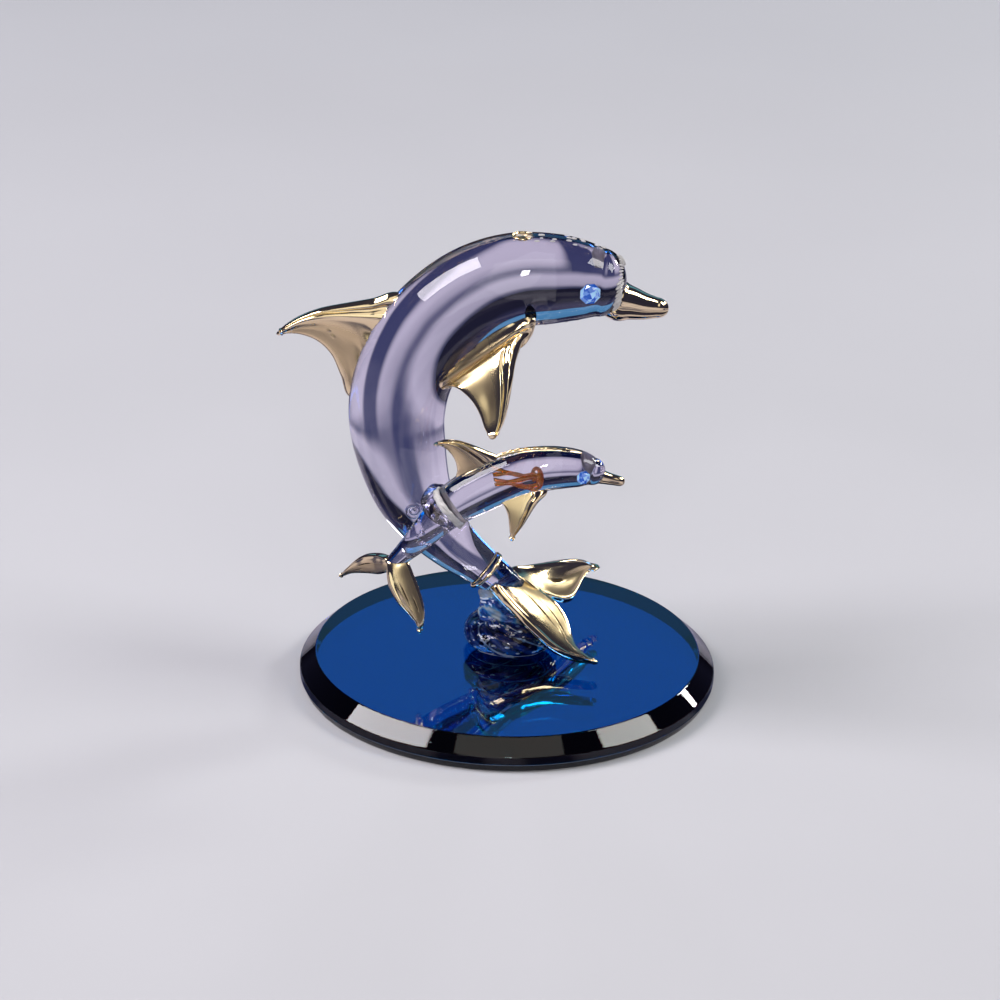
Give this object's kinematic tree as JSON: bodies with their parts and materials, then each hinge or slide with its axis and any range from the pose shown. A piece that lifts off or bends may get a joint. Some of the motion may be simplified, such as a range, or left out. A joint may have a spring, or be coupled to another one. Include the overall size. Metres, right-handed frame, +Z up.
{
  "type": "glass dolphin figurine",
  "caption": "Lampworked glass dolphin and calf with gold-lustred fins, leaping from a swirled glass wave on a bevelled round mirror.",
  "frame": {"origin": "centre of the round base's underside, on the surface that it stands on", "axes": "+Z up, +X towards the beaks, +Y away from the calf's side"},
  "size_m": [0.094, 0.089, 0.1006],
  "materials": {
    "clear_crystal": "fire-polished, clear",
    "blue_swirl_glass": "fire-polished, swirled blue and clear",
    "gold_lustre": "fired bright gold lustre over glass",
    "blue_rhinestone": "faceted, foil-backed",
    "blue_mirror_glass": "polished, ground bevel",
    "silvering": "silvered and back-painted",
    "black_felt": "short pile",
    "clear_adhesive": "cured clear"
  },
  "bodies": {
    "root": {"base_felt": "black_felt", "base_silvering": "silvering", "base_glass": "blue_mirror_glass", "glue_pad": "clear_adhesive", "wave_coil": "blue_swirl_glass", "wave_neck": "blue_swirl_glass", "mother_body": "clear_crystal", "mother_tail_band": "gold_lustre", "mother_fluke_near": "gold_lustre", "mother_fluke_far": "gold_lustre", "mother_dorsal_fin": "gold_lustre", "mother_pectoral_near": "gold_lustre", "mother_pectoral_far": "gold_lustre", "mother_beak": "gold_lustre", "mother_blowhole_ring": "gold_lustre", "mother_eye_near": "blue_rhinestone", "mother_eye_far": "blue_rhinestone", "weld_bead": "clear_crystal", "calf_body": "clear_crystal", "calf_tail_stock": "clear_crystal", "calf_collar": "clear_crystal", "calf_fluke_back": "gold_lustre", "calf_fluke_down": "gold_lustre", "calf_dorsal_fin": "gold_lustre", "calf_pectoral_near": "gold_lustre", "calf_pectoral_far": "gold_lustre", "calf_beak": "gold_lustre", "calf_eye_near": "blue_rhinestone", "calf_eye_far": "blue_rhinestone"}
  },
  "joints": []
}
